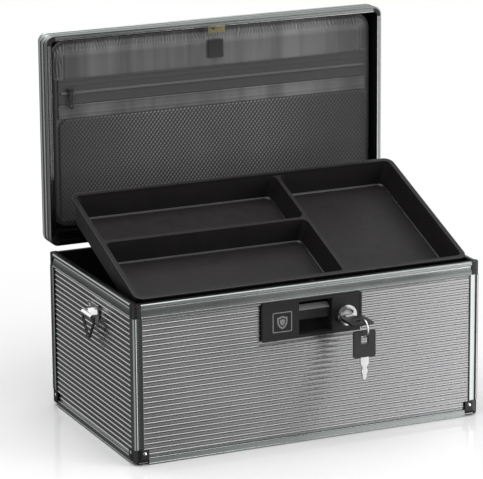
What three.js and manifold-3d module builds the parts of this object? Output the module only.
// Lockable aluminium-framed document box, shown with its lid open and its inner tray tilted up.
// Millimetres, +X right, +Y back, +Z up. The origin is the centre of the underside of the base.
import * as THREE from 'three';
import { mergeVertices } from 'three/addons/utils/BufferGeometryUtils.js';
import Module from 'manifold-3d';

const wasm = await Module();
wasm.setup();

// ---- Driving dimensions -------------------------------------------------------------------
const GAP = 0.3;                 // clearance between touching pieces
const CASE = { w: 360, d: 214.3, h: 155 };
const LID = { w: 360, d: 208, h: 26.9, seat: 0.4, corner: 8.5, flange: 9, innerWall: 6, board: 177, ribs: 38,
  keeperNotch: 8, keeperNotchHigh: 1.4, keeperInset: 2.2 };
const REAR_STRIP = { half: 170, front: 89.7, back: 97.6, low: 0.6, high: 2.2 };   // heights above the rim
const KEEPER = { left: -10.5, right: 7.5, back: -93, plate: 1.1, tongueLow: 149, tongueIn: 9.1, thick: 1.2,
  tongueLeft: -6, tongueNeck: 0.5, toe: 3, toeHigh: 2.5 };
const HINGE = { y: 105.4, z: 159.3, open: -90, x: 110, width: 50, knuckle: 3, pin: 1.2, leafOut: 1.5,
  baseLeaf: 12, lidLeaf: 17, web: 8, clear: 0.5 };
const TRAY = {
  w: 345, d: 177.5, h: 28, tilt: 20.85, corner: 9, draft: 4, lip: 2.5, lipHeight: 1.6, wall: 2,
  seatTop: 151, openFront: -98, openTop: 157.7, divide: 0.63, cross: 0.55, rib: 1.4,
};
const LEDGE = { deep: 12, high: 14, half: 80, edge: 3 };
const WALL = { skin: 1.5, slabOuter: 1.8, slabInner: 5, linerOuter: 5.3, linerInner: 6.6 };
const FLOOR = { board: 6, outside: 2, liner: 1.5 };
const RIB = { count: 27, height: 0.8, low: 7.4, high: 141.6 };
const POST = { flange: 9.5, sheet: 0.7, web: 4, round: 4 };
const RIM = { low: 142, lip: 4, sheet: 1.5 };
const EDGE = { high: 7, lip: 8, sheet: 1.5 };
const TOP_CAP = { reach: 8, low: 142.3 };
const BOTTOM_CAP = { reach: 14, high: 15.5, proud: 0.6, round: 7, flange: 8 };
const LOCK = {
  x: 1, low: 103.5, high: 141, width: 104, front: -1.6, back: 0.7,
  opening: { left: -15, right: 47.5, low: 105, high: 140, depth: 8 },
  case: { low: 101, shoulder: 150, high: 152.5, back: 13.65, topBack: 10.65 },
  notch: { left: -8.5, right: 12.5, in: 8.7, back: 15, low: 147, high: 154 },
  lever: { side: 0.8, in: 2.2, back: 9, low: 120, corner: 128.5, high: 133.5, root: 4, foot: 2.8 },
  hook: { left: 3.4, right: 8, low: 147.5, neck: 152.9, high: 154.6, in: 9, thick: 1.4, stem: 2.6 },
  recess: { left: -12.7, right: 21.8, low: 106.5, high: 138.5, depth: 10, wall: 1.2 },
  cylinder: { x: 35.7, z: 120.7, flange: 10, barrel: 8, bore: 5.8, face: -5.9, back: 12 },
  keyway: { half: 4.6, halfTall: 1.3, front: -8, back: 10 },
  cam: { half: 5, drop: 20, rise: 5, round: 4.9, front: 14.4, back: 16 },
};
const KEY = { bow: 23, bowLength: 26, thick: 2.6, window: 7, windowLength: 8, bar: 5, shoulder: -13.85,
  blade: 22, bladeThick: 1.9 };
const KEY_RING = { radius: 8.2, wire: 0.6, drop: 4.6 };
const CLIP = { y: -9, z: 122, width: 24, barrel: 3, out: 5.4, bore: 1.9, plate: 0.9, plateIn: 0.7,
  plateUp: 11, plateDown: 4,
  slot: 7, slotTall: 6 };
const STRAP_RING = { wire: 1.4, side: 1.9, shoulder: 5, drop: 21, tip: 2.5 };
const PAD = { w: 343, front: -96.3, back: 88.5, low: 164.8, high: 176.7, corner: 16 };
const POCKET = { inset: 6, front: -43, back: 5, thick: 0.8, corner: 10 };
const ZIPPER = { left: 9, right: 7, front: -49, back: -44, thick: 1.2 };
const TAB = { left: -7, right: 9.3, front: -84, back: -66.3, thick: 1.3 };
const SLIDER = { x: -153, half: 4, front: -50, back: -43, pullHalf: 2, pullFront: -45, pullBack: -30 };
const HANDLE = { span: 110, reach: 26, grip: 9, thick: 5, lift: 5, arm: 3, eye: 2.9, bore: 1.8, pin: 1.5,
  bracket: 7, foot: 9, ear: 3.6, slot: 3.4, plate: 1.6 };

const halfW = CASE.w / 2;
const halfD = CASE.d / 2;
const lidLow = CASE.h + LID.seat;
const lidHigh = lidLow + LID.h;
const deg = THREE.MathUtils.degToRad;

// ---- Materials ----------------------------------------------------------------------------
function material(color, roughness, metalness) {
  return new THREE.MeshStandardMaterial({ color, roughness, metalness });
}

const ribbedSheet = material('#8b8c8e', 0.4, 0.8);
const frameMetal = material('#a5a8a9', 0.35, 0.85);
const blackPlastic = material('#1c1c1d', 0.45, 0);
const linerPlastic = material('#101011', 0.6, 0);
const trayPlastic = material('#2c2a2b', 0.5, 0);
const chrome = material('#e4e4e6', 0.12, 1);
const steel = material('#b9b9bb', 0.3, 1);
const brass = material('#a79a6a', 0.35, 1);
const fabric = material('#5c5c5d', 0.85, 0);
const meshFabric = material('#3c3c3d', 0.9, 0);

// ---- Shape helpers ------------------------------------------------------------------------
function toSolid(geometry) {
  const bare = geometry.clone();
  for (const key of Object.keys(bare.attributes)) {
    if (key !== 'position') bare.deleteAttribute(key);
  }
  const merged = mergeVertices(bare, 1e-4);
  return new wasm.Manifold(new wasm.Mesh({
    numProp: 3,
    vertProperties: new Float32Array(merged.attributes.position.array),
    triVerts: new Uint32Array(merged.index.array),
  }));
}

function toGeometry(solid) {
  const mesh = solid.getMesh();
  const geometry = new THREE.BufferGeometry();
  geometry.setAttribute('position', new THREE.BufferAttribute(new Float32Array(mesh.vertProperties), 3));
  geometry.setIndex(new THREE.BufferAttribute(new Uint32Array(mesh.triVerts), 1));
  geometry.computeVertexNormals();
  return geometry;
}

const join = (...shapes) => toGeometry(shapes.map(toSolid).reduce((all, one) => all.add(one)));
const common = (...shapes) => toGeometry(shapes.map(toSolid).reduce((all, one) => all.intersect(one)));

function cut(body, ...tools) {
  return toGeometry(tools.map(toSolid).reduce((left, tool) => left.subtract(tool), toSolid(body)));
}

function block([x0, x1], [y0, y1], [z0, z1]) {
  const box = new THREE.BoxGeometry(x1 - x0, y1 - y0, z1 - z0);
  return box.translate((x0 + x1) / 2, (y0 + y1) / 2, (z0 + z1) / 2);
}

// A prism of an outline: along X its points are (y, z), along Y they are (x, z), along Z (x, y).
function prism(axis, outline, [from, to]) {
  const shape = new THREE.Shape(outline.map(([a, b]) => new THREE.Vector2(a, b)));
  const body = new THREE.ExtrudeGeometry(shape, { depth: to - from, bevelEnabled: false, curveSegments: 6 });
  const turn = new THREE.Matrix4();
  if (axis === 'x') {
    turn.makeBasis(new THREE.Vector3(0, 1, 0), new THREE.Vector3(0, 0, 1), new THREE.Vector3(1, 0, 0));
    return body.applyMatrix4(turn).translate(from, 0, 0);
  }
  if (axis === 'y') {
    turn.makeBasis(new THREE.Vector3(1, 0, 0), new THREE.Vector3(0, 0, 1), new THREE.Vector3(0, -1, 0));
    return body.applyMatrix4(turn).translate(0, to, 0);
  }
  return body.translate(0, 0, from);
}

// A round bar along an axis, centred on (a, b) of the other two.
function bar(axis, radius, [from, to], [a, b], sides = 24) {
  const rod = new THREE.CylinderGeometry(radius, radius, to - from, sides);
  const middle = (from + to) / 2;
  if (axis === 'x') return rod.rotateZ(-Math.PI / 2).translate(middle, a, b);
  if (axis === 'y') return rod.translate(a, middle, b);
  return rod.rotateX(Math.PI / 2).translate(a, b, middle);
}

function arc([cx, cy], radius, from, to, steps = 5) {
  return Array.from({ length: steps + 1 }, (_, i) => {
    const angle = deg(from + ((to - from) * i) / steps);
    return [cx + radius * Math.cos(angle), cy + radius * Math.sin(angle)];
  });
}

function roundedRectangle([x0, x1], [y0, y1], radius, steps = 5) {
  return [
    ...arc([x1 - radius, y1 - radius], radius, 0, 90, steps),
    ...arc([x0 + radius, y1 - radius], radius, 90, 180, steps),
    ...arc([x0 + radius, y0 + radius], radius, 180, 270, steps),
    ...arc([x1 - radius, y0 + radius], radius, 270, 360, steps),
  ];
}

// A closed body between outlines of the same number of points, each at its own height.
function loft(levels) {
  const count = levels[0].outline.length;
  const positions = levels.flatMap(({ outline, z }) => outline.flatMap(([x, y]) => [x, y, z]));
  const faces = [];
  for (let level = 0; level + 1 < levels.length; level += 1) {
    for (let i = 0; i < count; i += 1) {
      const a = level * count + i;
      const b = level * count + ((i + 1) % count);
      faces.push(a, b, b + count, a, b + count, a + count);
    }
  }
  const last = (levels.length - 1) * count;
  for (let i = 1; i + 1 < count; i += 1) {
    faces.push(0, i + 1, i, last, last + i, last + i + 1);
  }
  const geometry = new THREE.BufferGeometry();
  geometry.setAttribute('position', new THREE.Float32BufferAttribute(positions, 3));
  geometry.setIndex(faces);
  return geometry;
}

// Walls of the base: v is the depth in from the outer face, so a section is a list of (v, z).
const SIDES = {
  front: { axis: 'x', place: (v) => -halfD + v },
  back: { axis: 'x', place: (v) => halfD - v },
  left: { axis: 'y', place: (v) => -halfW + v },
  right: { axis: 'y', place: (v) => halfW - v },
};
const CORNERS = { front_left: [-1, -1], front_right: [1, -1], back_left: [-1, 1], back_right: [1, 1] };

function wallPrism(side, section, inset) {
  const { axis, place } = SIDES[side];
  const reach = (axis === 'x' ? halfW : halfD) - inset;
  return prism(axis, section.map(([v, z]) => [place(v), z]), [-reach, reach]);
}

// Corner pieces: (u, v) are depths in from the two outer faces.
const cornerPoints = ([sx, sy], outline) => outline.map(([u, v]) => [sx * (halfW - u), sy * (halfD - v)]);
const cornerPrism = (signs, outline, span) => prism('z', cornerPoints(signs, outline), span);

const group = new THREE.Group();
function add(parent, name, geometry, look) {
  const mesh = new THREE.Mesh(geometry, look);
  mesh.name = name;
  parent.add(mesh);
  return mesh;
}

// ---- Base: panels, extrusions, corner caps, liner -----------------------------------------
function ribbedSection(outer, inner, low, high, slabLow, slabHigh) {
  const pitch = (high - low) / RIB.count;
  const ribs = [];
  for (let i = 0; i < RIB.count; i += 1) {
    const z = low + i * pitch;
    ribs.push([outer, z], [outer - RIB.height, z + 0.25 * pitch], [outer - RIB.height, z + 0.7 * pitch]);
  }
  return [[inner, slabLow], [outer, slabLow], ...ribs, [outer, high], [outer, slabHigh], [inner, slabHigh]];
}

// The hole through the front wall and the liner that the lock sits in.
function lockOpening() {
  const { left, right, low, high, depth } = LOCK.opening;
  return block([left, right], [-halfD - 1, -halfD + depth], [low, high]);
}

function addBaseShell() {
  const slabTop = CASE.h - RIM.sheet - GAP;
  const slab = ribbedSection(WALL.slabOuter, WALL.slabInner, RIB.low, RIB.high, EDGE.sheet + GAP, slabTop);
  add(group, 'front_panel', cut(wallPrism('front', slab, POST.web + GAP), lockOpening()), ribbedSheet);
  add(group, 'back_panel', wallPrism('back', slab, POST.web + GAP), ribbedSheet);
  add(group, 'left_panel', wallPrism('left', slab, WALL.linerOuter), ribbedSheet);
  add(group, 'right_panel', wallPrism('right', slab, WALL.linerOuter), ribbedSheet);

  const rimSeam = CASE.h - RIM.sheet;
  const rim = [[RIM.sheet, RIM.low], [0, RIM.low], ...arc([RIM.sheet, rimSeam], RIM.sheet, 180, 90, 3),
    [RIM.lip, CASE.h], [RIM.lip, rimSeam], [RIM.sheet, rimSeam]];
  const edge = [[0, 0], [0, EDGE.high], [EDGE.sheet, EDGE.high], [EDGE.sheet, EDGE.sheet],
    [EDGE.lip, EDGE.sheet], [EDGE.lip, 0]];
  for (const side of Object.keys(SIDES)) {
    add(group, `top_rim_${side}`, wallPrism(side, rim, TOP_CAP.reach + GAP), frameMetal);
    add(group, `bottom_edge_${side}`, wallPrism(side, edge, BOTTOM_CAP.reach + GAP), frameMetal);
  }

  const round = arc([POST.round, POST.round], POST.round, 180, 270);
  const post = [...round, [POST.flange, 0], [POST.flange, POST.sheet], [POST.web, POST.sheet],
    [POST.web, POST.web], [POST.sheet, POST.web], [POST.sheet, POST.flange], [0, POST.flange]];
  const postSpan = [BOTTOM_CAP.high + GAP, RIM.low];
  const capLegs = [...round, [TOP_CAP.reach, 0], [TOP_CAP.reach, RIM.sheet], [POST.web, RIM.sheet],
    [POST.web, POST.web], [RIM.sheet, POST.web], [RIM.sheet, TOP_CAP.reach], [0, TOP_CAP.reach]];
  const capTop = [...round, [TOP_CAP.reach, 0], [TOP_CAP.reach, RIM.lip], [RIM.lip, RIM.lip],
    [RIM.lip, TOP_CAP.reach], [0, TOP_CAP.reach]];
  for (const [corner, signs] of Object.entries(CORNERS)) {
    add(group, `corner_post_${corner}`, cornerPrism(signs, post, postSpan), frameMetal);
    const cap = join(cornerPrism(signs, capLegs, [TOP_CAP.low, rimSeam + 0.1]),
      cornerPrism(signs, capTop, [rimSeam, CASE.h]));
    add(group, `top_corner_${corner}`, cap, blackPlastic);
    add(group, `bottom_corner_${corner}`, bottomCorner(signs), blackPlastic);
  }
}

// A moulded foot corner: rounded on all three outer edges, open inside for the panels.
function bottomCorner(signs) {
  const { reach, high, proud, round, flange } = BOTTOM_CAP;
  const middle = round - proud;
  const plan = [...arc([middle, middle], round, 180, 270, 6), [reach, -proud], [reach, reach],
    [-proud, reach]];
  const side = [...arc([middle, round], round, 180, 270, 6), [reach, 0], [reach, high], [-proud, high]];
  const xz = side.map(([u, z]) => [signs[0] * (halfW - u), z]);
  const yz = side.map(([v, z]) => [signs[1] * (halfD - v), z]);
  const through = [-2 * CASE.w, 2 * CASE.w];
  const outer = common(cornerPrism(signs, plan, [0, high]), prism('y', xz, through), prism('x', yz, through));
  const sheet = POST.sheet;
  const hollow = [[POST.web, sheet], [reach + 1, sheet], [reach + 1, reach + 1], [sheet, reach + 1],
    [sheet, POST.web], [POST.web, POST.web]];
  const window = [[flange, flange], [reach + 1, flange], [reach + 1, reach + 1], [flange, reach + 1]];
  return cut(outer, cornerPrism(signs, hollow, [EDGE.sheet, high + 1]),
    cornerPrism(signs, window, [-1, high]));
}

function addBaseInside() {
  const low = EDGE.lip + GAP;
  const top = WALL.linerOuter;
  add(group, 'bottom_board', join(
    block([-halfW + low, halfW - low], [-halfD + low, halfD - low], [0, FLOOR.outside]),
    block([-halfW + top, halfW - top], [-halfD + top, halfD - top], [EDGE.sheet + GAP, FLOOR.board]),
  ), ribbedSheet);

  const tub = (v, span) => block([-halfW + v, halfW - v], [-halfD + v, halfD - v], span);
  add(group, 'base_liner', cut(
    join(tub(WALL.linerOuter, [FLOOR.board + GAP, CASE.h - 1]),
      tub(RIM.lip + GAP, [CASE.h - RIM.sheet, CASE.h])),
    tub(WALL.linerInner, [FLOOR.board + FLOOR.liner, CASE.h + 1]),
    lockOpening(),
  ), linerPlastic);

  const ledgeTop = TRAY.seatTop - TRAY.h - GAP;
  const wall = halfW - WALL.linerInner - GAP;
  for (const [side, sign] of [['left', -1], ['right', 1]]) {
    const outline = [[sign * wall, ledgeTop - LEDGE.high], [sign * wall, ledgeTop],
      [sign * (wall - LEDGE.deep), ledgeTop], [sign * (wall - LEDGE.deep), ledgeTop - LEDGE.edge]];
    add(group, `tray_ledge_${side}`, prism('y', outline, [-LEDGE.half, LEDGE.half]), linerPlastic);
  }
}

// ---- Lock: plate, case, cylinder, plug, lever, latch --------------------------------------
const front = (v) => -halfD + v;

function addLock() {
  const { recess, cylinder } = LOCK;
  const barrelHole = (radius) => bar('y', radius, [front(-20), front(20)], [cylinder.x, cylinder.z], 32);
  const caseSpan = [LOCK.x - LOCK.width / 2, LOCK.x + LOCK.width / 2];
  const plate = roundedRectangle(caseSpan, [LOCK.low, LOCK.high], 1.5, 3);
  const wall = recess.wall;
  const tub = block([recess.left - wall, recess.right + wall], [front(0), front(recess.depth + wall)],
    [recess.low - wall, recess.high + wall]);
  const hollow = [front(LOCK.front - 1), front(recess.depth)];
  const pocket = block([recess.left, recess.right], hollow, [recess.low, recess.high]);
  add(group, 'lock_plate', cut(join(prism('y', plate, [front(LOCK.front), front(LOCK.back)]), tub), pocket,
    barrelHole(cylinder.barrel + GAP)), blackPlastic);

  const inner = WALL.linerInner + GAP;
  const { case: housing, notch, lever, hook } = LOCK;
  const clearance = 2;
  add(group, 'lock_case', cut(
    join(block(caseSpan, [front(inner), front(housing.back)], [housing.low, housing.shoulder]),
      block(caseSpan, [front(inner), front(housing.topBack)], [housing.shoulder - 1, housing.high])),
    block([recess.left - clearance, recess.right + clearance],
      [front(inner - 1), front(recess.depth + wall + GAP)],
      [recess.low - clearance, recess.high + clearance]),
    barrelHole(cylinder.barrel + GAP),
    block([notch.left, notch.right], [front(notch.in), front(notch.back)], [notch.low, notch.high]),
  ), blackPlastic);

  const { x, z } = cylinder;
  add(group, 'cylinder_body', cut(
    join(bar('y', cylinder.flange, [front(cylinder.face), front(LOCK.front - GAP)], [x, z], 40),
      bar('y', cylinder.barrel, [front(LOCK.front - 1), front(cylinder.back)], [x, z], 32)),
    barrelHole(cylinder.bore),
  ), chrome);

  const { keyway, cam } = LOCK;
  const slot = block([x - keyway.half, x + keyway.half], [front(keyway.front), front(keyway.back)],
    [z - keyway.halfTall, z + keyway.halfTall]);
  const camPlate = roundedRectangle([x - cam.half, x + cam.half], [z - cam.drop, z + cam.rise], cam.round, 4);
  add(group, 'lock_plug', cut(
    join(bar('y', cylinder.bore - GAP, [front(cylinder.face - 0.5), front(cam.front + 0.1)], [x, z], 28),
      prism('y', camPlate, [front(cam.front), front(cam.back)])),
    slot,
  ), steel);

  const grip = [[lever.in, lever.low], [lever.in, lever.corner], [lever.back, lever.high],
    [lever.back, lever.high - lever.root], [lever.in + lever.foot, lever.low]];
  add(group, 'pull_lever', prism('x', grip.map(([v, height]) => [front(v), height]),
    [recess.left + lever.side, recess.right - lever.side]), blackPlastic);

  const claw = [[hook.left, hook.neck], [hook.left, hook.high], [hook.right, hook.high],
    [hook.right, hook.low], [hook.right - hook.stem, hook.low], [hook.right - hook.stem, hook.neck]];
  add(group, 'latch_hook', prism('y', claw, [front(hook.in), front(hook.in + hook.thick)]), steel);
}

// ---- Keys and their split ring ------------------------------------------------------------
// A key lies in the XY plane: bow towards -Y with its split-ring bar at the end, blade towards +Y.
function keyGeometry() {
  const { bow, bowLength, thick, window, windowLength, bar: end, blade, bladeThick } = KEY;
  const head = cut(
    prism('z', roundedRectangle([-bow / 2, bow / 2], [-bowLength, 0], 1.5, 3), [-thick / 2, thick / 2]),
    block([-window / 2, window / 2], [-bowLength + end, -bowLength + end + windowLength], [-5, 5]),
  );
  const halfBit = [[4.2, -1], [4.2, 6], [3, 8.5], [2.2, 11], [3, 13], [2.7, 15.5], [1.9, 17.5],
    [2.2, blade - 1.5], [1.2, blade]];
  const bit = [...halfBit, ...halfBit.map(([x, y]) => [-x, y]).reverse()];
  return join(head, prism('z', bit, [-bladeThick / 2, bladeThick / 2]));
}

function addKeys() {
  const { x, z } = LOCK.cylinder;
  const shoulder = front(KEY.shoulder);
  const inserted = add(group, 'inserted_key', keyGeometry(), blackPlastic);
  inserted.position.set(x, shoulder, z);

  const ringY = shoulder - KEY.bowLength + KEY.bar / 2;
  const ringZ = z - KEY_RING.drop;
  const ring = add(group, 'key_ring', new THREE.TorusGeometry(KEY_RING.radius, KEY_RING.wire, 8, 32), chrome);
  ring.rotation.y = Math.PI / 2;
  ring.position.set(x + 2, ringY, ringZ);

  const spare = add(group, 'spare_key', keyGeometry(), blackPlastic);
  spare.rotation.x = -Math.PI / 2;
  spare.position.set(x + 2, ringY, ringZ - KEY_RING.drop + KEY.bar / 2 - KEY.bowLength);
}

// ---- Shoulder-strap clips on the two sides ------------------------------------------------
function strapRing() {
  const { wire, side, shoulder, drop, tip } = STRAP_RING;
  const top = CLIP.width / 2 + side;
  const corners = [[-top, 0], [top, 0], [top, -shoulder], [tip, -drop], [-tip, -drop], [-top, -shoulder]]
    .map(([y, z]) => new THREE.Vector3(0, y, z));
  const up = new THREE.Vector3(0, 1, 0);
  const rods = corners.map((from, i) => {
    const along = corners[(i + 1) % corners.length].clone().sub(from);
    const rod = new THREE.CylinderGeometry(wire, wire, along.length(), 10);
    rod.applyQuaternion(new THREE.Quaternion().setFromUnitVectors(up, along.clone().normalize()));
    const middle = from.clone().addScaledVector(along, 0.5);
    return rod.translate(middle.x, middle.y, middle.z);
  });
  const knobs = corners.map((at) => new THREE.SphereGeometry(wire + 0.05, 10, 8).translate(at.x, at.y, at.z));
  return join(...rods, ...knobs);
}

function addStrapClips() {
  const [near, far] = [CLIP.y - CLIP.width / 2, CLIP.y + CLIP.width / 2];
  for (const [side, sign] of [['left', -1], ['right', 1]]) {
    const out = (distance) => sign * (halfW + distance);
    const across = (from, to) => [out(from), out(to)].sort((a, b) => a - b);
    const plateSpan = [CLIP.z - CLIP.plateDown, CLIP.z + CLIP.plateUp];
    const plate = block(across(-CLIP.plateIn, CLIP.plate), [near, far], plateSpan);
    const barrel = bar('y', CLIP.barrel, [near, far], [out(CLIP.out), CLIP.z]);
    const web = block(across(0.5, CLIP.out), [near, far], [CLIP.z + 1.2, CLIP.z + CLIP.barrel - 0.1]);
    const bore = bar('y', CLIP.bore, [near - 1, far + 1], [out(CLIP.out), CLIP.z], 16);
    const slot = block(across(1.2, 12), [CLIP.y - CLIP.slot, CLIP.y + CLIP.slot],
      [CLIP.z - CLIP.slotTall, CLIP.z + 0.5]);
    add(group, `strap_clip_${side}`, cut(join(plate, barrel, web), bore, slot), chrome);

    const ring = add(group, `strap_ring_${side}`, strapRing(), blackPlastic);
    ring.position.set(out(CLIP.out), CLIP.y, CLIP.z);
  }
}

// ---- Hinges -------------------------------------------------------------------------------
function addHinges(lid) {
  const { y, z, x, width, knuckle, pin, leafOut } = HINGE;
  for (const [side, sign] of [['left', -1], ['right', 1]]) {
    const [a, b] = [sign * x - width / 2, sign * x + width / 2];
    const third = width / 3;
    const outerKnuckles = [[a, a + third - GAP], [b - third + GAP, b]];
    const baseLeaf = join(
      block([a, b], [halfD + GAP, halfD + leafOut], [CASE.h - HINGE.baseLeaf, z - leafOut]),
      ...outerKnuckles.map((span) => bar('x', knuckle, span, [y, z], 20)),
    );
    const pinBar = bar('x', pin, [a, b], [y, z], 16);
    const relief = bar('x', knuckle + GAP, [a + third - GAP, b - third + GAP], [y, z], 20);
    add(group, `hinge_base_leaf_${side}`, join(cut(baseLeaf, relief), pinBar), steel);

    const back = LID.d / 2;
    const lidLeaf = cut(
      join(block([a, b], [back + GAP, back + leafOut], [z + knuckle + 2 * GAP, z + HINGE.lidLeaf]),
        block([a + third + GAP, b - third - GAP], [back + GAP, back + leafOut], [z, z + HINGE.web]),
        bar('x', knuckle, [a + third + GAP, b - third - GAP], [y, z], 20)),
      bar('x', pin + GAP, [a - 1, b + 1], [y, z], 16),
    );
    add(lid, `hinge_lid_leaf_${side}`, lidLeaf, steel);
  }
}

// ---- Lid, modelled closed and turned open as one group ------------------------------------
function lidRing(outer, inner, span, radiusOut, radiusIn) {
  const [hw, hd] = [LID.w / 2, LID.d / 2];
  const outline = (v, r) => roundedRectangle([-hw + v, hw - v], [-hd + v, hd - v], r);
  const body = prism('z', outline(outer, radiusOut), span);
  return cut(body, prism('z', outline(inner, radiusIn), [span[0] - 1, span[1] + 1]));
}

function addLid(lid) {
  const [hw, hd] = [LID.w / 2, LID.d / 2];
  const skin = WALL.skin;
  const { corner, flange } = LID;
  const notchHalf = HINGE.width / 2 + 1;
  const hingeNotch = (sign) => block([sign * HINGE.x - notchHalf, sign * HINGE.x + notchHalf],
    [HINGE.y - HINGE.knuckle - HINGE.clear, hd + 5], [lidLow - 2, HINGE.z + HINGE.knuckle + HINGE.clear]);
  const notches = [hingeNotch(-1), hingeNotch(1)];
  const sides = lidRing(0, skin, [lidLow, lidHigh - 1], corner, corner - skin);
  const top = lidRing(0, flange, [lidHigh - skin, lidHigh], corner, 2);
  add(lid, 'lid_frame', cut(join(sides, top), ...notches), frameMetal);

  const inset = skin + GAP;
  const board = prism('z', roundedRectangle([-hw + inset, hw - inset], [-hd + inset, hd - inset],
    corner - inset), [LID.board, lidHigh - inset]);
  const ribTop = lidHigh - inset;
  const reach = hd - flange - GAP;
  const pitch = (2 * reach) / LID.ribs;
  const ribs = [[-reach, ribTop - 0.5]];
  for (let i = 0; i < LID.ribs; i += 1) {
    const y = -reach + i * pitch;
    ribs.push([y, ribTop], [y + 0.25 * pitch, ribTop + RIB.height], [y + 0.7 * pitch, ribTop + RIB.height]);
  }
  ribs.push([reach, ribTop], [reach, ribTop - 0.5]);
  add(lid, 'lid_panel', join(board, prism('x', ribs, [-hw + flange + GAP, hw - flange - GAP])), ribbedSheet);

  const keeperNotch = block([KEEPER.left - 1, KEEPER.right + 1], [-hd, -hd + LID.keeperNotch],
    [lidLow - 1, lidLow + LID.keeperNotchHigh]);
  add(lid, 'lid_inner_frame', cut(lidRing(inset, LID.innerWall, [lidLow, LID.board - GAP],
    corner - inset, 3), keeperNotch, ...notches), linerPlastic);
  add(lid, 'lid_rear_strip', block([-REAR_STRIP.half, REAR_STRIP.half], [REAR_STRIP.front, REAR_STRIP.back],
    [lidLow + REAR_STRIP.low, lidLow + REAR_STRIP.high]), frameMetal);

  // The tongue is an upside-down hook: its toe points at the latch hook.
  const { tongueLeft, tongueNeck, tongueLow, toe, toeHigh } = KEEPER;
  const root = lidLow + KEEPER.plate - 0.5;
  const tongue = [[tongueLeft, root], [tongueLeft, tongueLow], [toe, tongueLow], [toe, tongueLow + toeHigh],
    [tongueNeck, tongueLow + toeHigh], [tongueNeck, root]];
  add(lid, 'lid_keeper', join(
    block([KEEPER.left, KEEPER.right], [-hd + LID.keeperInset, KEEPER.back],
      [lidLow + 0.1, lidLow + KEEPER.plate]),
    prism('y', tongue, [front(KEEPER.tongueIn), front(KEEPER.tongueIn + KEEPER.thick)]),
  ), brass);
}

function addLidLining(lid) {
  const half = PAD.w / 2;
  const face = PAD.low - GAP;
  add(lid, 'lid_pad', prism('z', roundedRectangle([-half, half], [PAD.front, PAD.back], PAD.corner),
    [PAD.low, PAD.high]), fabric);
  add(lid, 'mesh_pocket', prism('z', roundedRectangle([-half + POCKET.inset, half - POCKET.inset],
    [POCKET.front, PAD.back - POCKET.back], POCKET.corner), [face - POCKET.thick, face]), meshFabric);
  add(lid, 'zipper_chain', prism('z', roundedRectangle([-half + ZIPPER.left, half - ZIPPER.right],
    [ZIPPER.front, ZIPPER.back], 1), [face - ZIPPER.thick, face]), fabric);
  add(lid, 'pull_tab', prism('z', roundedRectangle([TAB.left, TAB.right], [TAB.front, TAB.back], 1),
    [face - TAB.thick, face]), meshFabric);

  const sliderFace = face - ZIPPER.thick - GAP;
  const across = (width) => [SLIDER.x - width, SLIDER.x + width];
  add(lid, 'zipper_slider', join(
    block(across(SLIDER.half), [SLIDER.front, SLIDER.back], [sliderFace - 2.2, sliderFace]),
    block(across(SLIDER.pullHalf), [SLIDER.pullFront, SLIDER.pullBack], [sliderFace - 3.2, sliderFace - 1.8]),
  ), steel);
}

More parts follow.
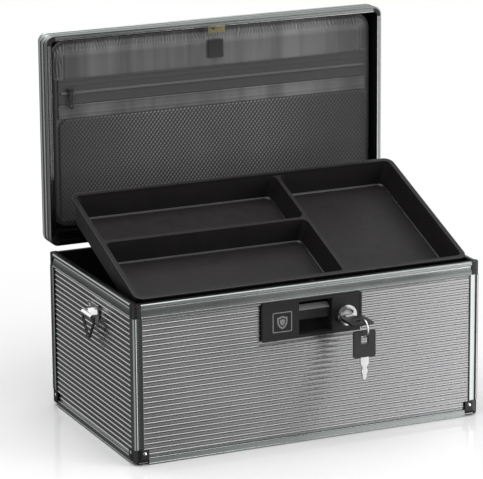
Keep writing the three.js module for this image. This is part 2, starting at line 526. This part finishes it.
function addCarryingHandle(lid) {
  const { span, reach, grip, thick, lift, arm, eye, bore, pin, bracket, foot, ear, slot, plate } = HANDLE;
  const low = lidHigh - WALL.skin - GAP + RIB.height + GAP;
  const axisZ = low + lift;
  const middle = { left: -span / 2, right: span / 2 };
  const around = (x, width) => [x - width, x + width];
  for (const [side, x] of Object.entries(middle)) {
    const wide = around(x, bracket);
    const body = join(block(wide, [-foot, foot], [low, low + plate]),
      block(wide, [-ear, ear], [low + 1, axisZ]),
      bar('x', ear, wide, [0, axisZ], 20));
    const gap = block(around(x, slot), [-foot - 1, foot + 1], [low + plate, axisZ + 6]);
    add(lid, `handle_bracket_${side}`, join(cut(body, gap), bar('x', pin, wide, [0, axisZ], 14)), chrome);
  }
  const slab = [axisZ - thick / 2, axisZ + thick / 2];
  const arms = Object.values(middle).map((x) => join(
    block(around(x, arm), [0, reach], slab),
    bar('x', eye, around(x, arm), [0, axisZ], 20),
  ));
  const gripBar = prism('x', roundedRectangle([reach - grip, reach], slab, 2.2, 3),
    [-span / 2 - arm, span / 2 + arm]);
  const hole = bar('x', bore, [-span, span], [0, axisZ], 14);
  add(lid, 'carry_handle', cut(join(...arms, gripBar), hole), blackPlastic);
}

// ---- Tray, modelled flat with its front top edge at the local origin ----------------------
function trayGeometry() {
  const { w, d, h, corner, draft, lip, lipHeight, wall, rib } = TRAY;
  const half = w / 2;
  const shell = (inset, radius) =>
    roundedRectangle([-half + inset, half - inset], [inset, d - inset], radius);
  const body = loft([
    { outline: shell(lip + draft, corner - 3), z: -h },
    { outline: shell(lip, corner - 1), z: -lipHeight / 2 },
  ]);
  const rim = prism('z', shell(0, corner), [-lipHeight, 0]);
  const divide = -half + TRAY.divide * w;
  const cross = TRAY.cross * d;
  const inner = lip + wall;
  const pocket = ([x0, x1], [y0, y1]) => loft([
    { outline: roundedRectangle([x0 + draft, x1 - draft], [y0 + draft, y1 - draft], 5), z: -h + wall },
    { outline: roundedRectangle([x0, x1], [y0, y1], 7), z: 1 },
  ]);
  const lowered = prism('z', shell(inner + 0.3, corner - 4), [-2.5, 1]);
  return cut(join(body, rim),
    pocket([-half + inner, divide - rib], [inner, cross - rib]),
    pocket([-half + inner, divide - rib], [cross + rib, d - inner]),
    pocket([divide + rib, half - inner], [inner, d - inner]),
    lowered);
}

function addTray() {
  const tray = add(group, 'tray', trayGeometry(), trayPlastic);
  tray.position.set(0, TRAY.openFront, TRAY.openTop);
  tray.rotation.x = deg(TRAY.tilt);
}

// ---- Assembly -----------------------------------------------------------------------------
const lidTurned = new THREE.Group();
const lidClosed = new THREE.Group();
lidTurned.position.set(0, HINGE.y, HINGE.z);
lidTurned.rotation.x = deg(HINGE.open);
lidClosed.position.set(0, -HINGE.y, -HINGE.z);
lidTurned.add(lidClosed);
group.add(lidTurned);

addBaseShell();
addBaseInside();
addLock();
addKeys();
addStrapClips();
addHinges(lidClosed);
addLid(lidClosed);
addLidLining(lidClosed);
addCarryingHandle(lidClosed);
addTray();

export default group;
